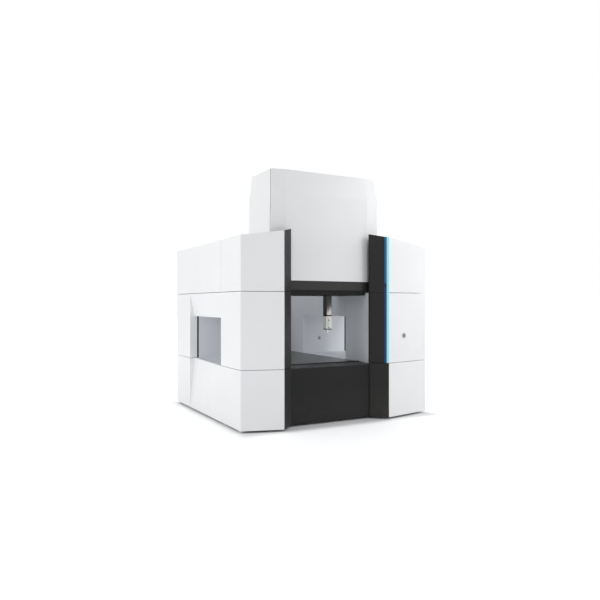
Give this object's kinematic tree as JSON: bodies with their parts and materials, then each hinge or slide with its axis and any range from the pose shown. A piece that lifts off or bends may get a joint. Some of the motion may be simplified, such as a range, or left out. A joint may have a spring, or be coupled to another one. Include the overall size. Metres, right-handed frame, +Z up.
{
  "type": "coordinate measuring machine",
  "caption": "Overhead-bridge coordinate measuring machine in a white sheet housing with black front pillars, granite table, travelling hooded bridge, vertical ram and probe head.",
  "frame": {"origin": "on the floor under the middle of the housing's bounding box", "axes": "X to the right seen from the open front, Y to the back, Z up"},
  "size_m": [2.913, 2.749, 3.345],
  "materials": {
    "machine_bed": "painted casting",
    "air_spring_feet": "moulded",
    "measuring_table": null,
    "table_inserts": "ground steel",
    "left_guide_wall": null,
    "right_guide_wall": null,
    "y_guideways": null,
    "y_magnet_tracks": "ground steel",
    "ledge_covers": "satin white powder coat",
    "left_inner_lining": "satin white powder coat",
    "right_inner_lining": "satin white powder coat",
    "housing_frames": "satin black powder coat",
    "window_gaskets": "moulded",
    "left_lower_cover": "satin white powder coat",
    "left_middle_cover": "satin white powder coat",
    "left_upper_front_cover": "satin white powder coat",
    "left_upper_rear_cover": "satin white powder coat",
    "right_lower_cover": "satin white powder coat",
    "right_middle_cover": "satin white powder coat",
    "right_upper_front_cover": "satin white powder coat",
    "right_upper_rear_cover": "satin white powder coat",
    "tower_inner_panels": "satin white powder coat",
    "rear_lower_panel": "satin white powder coat",
    "rear_upper_panel": "satin white powder coat",
    "left_lower_pillar": "satin black powder coat",
    "left_middle_pillar": "satin black powder coat",
    "left_upper_pillar": "satin black powder coat",
    "right_lower_pillar": "satin black powder coat",
    "right_middle_pillar": "satin black powder coat",
    "right_upper_pillar": "satin black powder coat",
    "light_strip": "lit light-blue diffuser",
    "front_panel": "satin black powder coat",
    "front_sill": "satin black powder coat",
    "panel_lock": "moulded, matt",
    "tunnel_lock": "moulded, matt",
    "left_truck": "anodised",
    "right_truck": "anodised",
    "bridge_air_pads": "anodised",
    "y_motor_coils": "moulded, matt",
    "front_crossbeam": null,
    "rear_crossbeam": null,
    "x_magnet_track": "ground steel",
    "bridge_fascia": "satin black powder coat",
    "bottom_cover": "satin black powder coat",
    "hood_front_shell": "satin white powder coat",
    "hood_rear_shell": "satin white powder coat",
    "carriage_frame": "anodised",
    "carriage_air_pads": "anodised",
    "x_motor_coil": "moulded, matt",
    "counterbalance_cylinder": "anodised",
    "ram": "anodised",
    "piston_rod": "ground steel",
    "head_adapter": "satin black powder coat",
    "probe_head": "gloss cream-white",
    "probe_x_stage": "anodised",
    "probe_y_stage": "anodised",
    "stylus_carrier": "moulded, matt",
    "stylus_plate": "anodised",
    "stylus": "carbon fibre rod",
    "stylus_ball": "polished"
  },
  "bodies": {
    "base": {"machine_bed": "machine_bed", "air_spring_feet": "air_spring_feet", "measuring_table": "measuring_table", "table_inserts": "table_inserts", "left_guide_wall": "left_guide_wall", "right_guide_wall": "right_guide_wall", "y_guideways": "y_guideways", "y_magnet_tracks": "y_magnet_tracks", "ledge_covers": "ledge_covers", "left_inner_lining": "left_inner_lining", "right_inner_lining": "right_inner_lining", "housing_frames": "housing_frames", "window_gaskets": "window_gaskets", "left_lower_cover": "left_lower_cover", "left_middle_cover": "left_middle_cover", "left_upper_front_cover": "left_upper_front_cover", "left_upper_rear_cover": "left_upper_rear_cover", "right_lower_cover": "right_lower_cover", "right_middle_cover": "right_middle_cover", "right_upper_front_cover": "right_upper_front_cover", "right_upper_rear_cover": "right_upper_rear_cover", "tower_inner_panels": "tower_inner_panels", "rear_lower_panel": "rear_lower_panel", "rear_upper_panel": "rear_upper_panel", "left_lower_pillar": "left_lower_pillar", "left_middle_pillar": "left_middle_pillar", "left_upper_pillar": "left_upper_pillar", "right_lower_pillar": "right_lower_pillar", "right_middle_pillar": "right_middle_pillar", "right_upper_pillar": "right_upper_pillar", "light_strip": "light_strip", "front_panel": "front_panel", "front_sill": "front_sill"},
    "panel_lock": {"panel_lock": "panel_lock"},
    "tunnel_lock": {"tunnel_lock": "tunnel_lock"},
    "bridge": {"left_truck": "left_truck", "right_truck": "right_truck", "bridge_air_pads": "bridge_air_pads", "y_motor_coils": "y_motor_coils", "front_crossbeam": "front_crossbeam", "rear_crossbeam": "rear_crossbeam", "x_magnet_track": "x_magnet_track", "bridge_fascia": "bridge_fascia", "bottom_cover": "bottom_cover", "hood_front_shell": "hood_front_shell", "hood_rear_shell": "hood_rear_shell"},
    "carriage": {"carriage_frame": "carriage_frame", "carriage_air_pads": "carriage_air_pads", "x_motor_coil": "x_motor_coil", "counterbalance_cylinder": "counterbalance_cylinder"},
    "ram": {"ram": "ram", "piston_rod": "piston_rod", "head_adapter": "head_adapter", "probe_head": "probe_head"},
    "probe_x": {"probe_x_stage": "probe_x_stage"},
    "probe_y": {"probe_y_stage": "probe_y_stage"},
    "stylus_unit": {"stylus_carrier": "stylus_carrier", "stylus_plate": "stylus_plate", "stylus": "stylus", "stylus_ball": "stylus_ball"}
  },
  "joints": [
    {"name": "bridge_y", "type": "slide", "parent": "base", "child": "bridge", "axis": [0, 1, 0], "range_m": [0, 1.5]},
    {"name": "carriage_x", "type": "slide", "parent": "bridge", "child": "carriage", "axis": [1, 0, 0], "range_m": [-0.681, 0.219]},
    {"name": "ram_z", "type": "slide", "parent": "carriage", "child": "ram", "axis": [0, 0, 1], "range_m": [-0.3, 0.4]},
    {"name": "probe_deflect_x", "type": "slide", "parent": "ram", "child": "probe_x", "axis": [1, 0, 0], "range_m": [-0.002, 0.002], "stiffness_N_per_m": 5000},
    {"name": "probe_deflect_y", "type": "slide", "parent": "probe_x", "child": "probe_y", "axis": [0, 1, 0], "range_m": [-0.002, 0.002], "stiffness_N_per_m": 5000},
    {"name": "probe_deflect_z", "type": "slide", "parent": "probe_y", "child": "stylus_unit", "axis": [0, 0, 1], "range_m": [-0.002, 0.002], "stiffness_N_per_m": 20000},
    {"name": "panel_lock_turn", "type": "hinge", "parent": "base", "child": "panel_lock", "pos_m": [0.98581, -1.31327, 1.141], "axis": [0.1954, -0.9807, 0], "range_deg": [0, 90]},
    {"name": "tunnel_lock_turn", "type": "hinge", "parent": "base", "child": "tunnel_lock", "pos_m": [0.8115, 0.7255, 1.009], "axis": [0, -1, 0], "range_deg": [0, 90]}
  ]
}
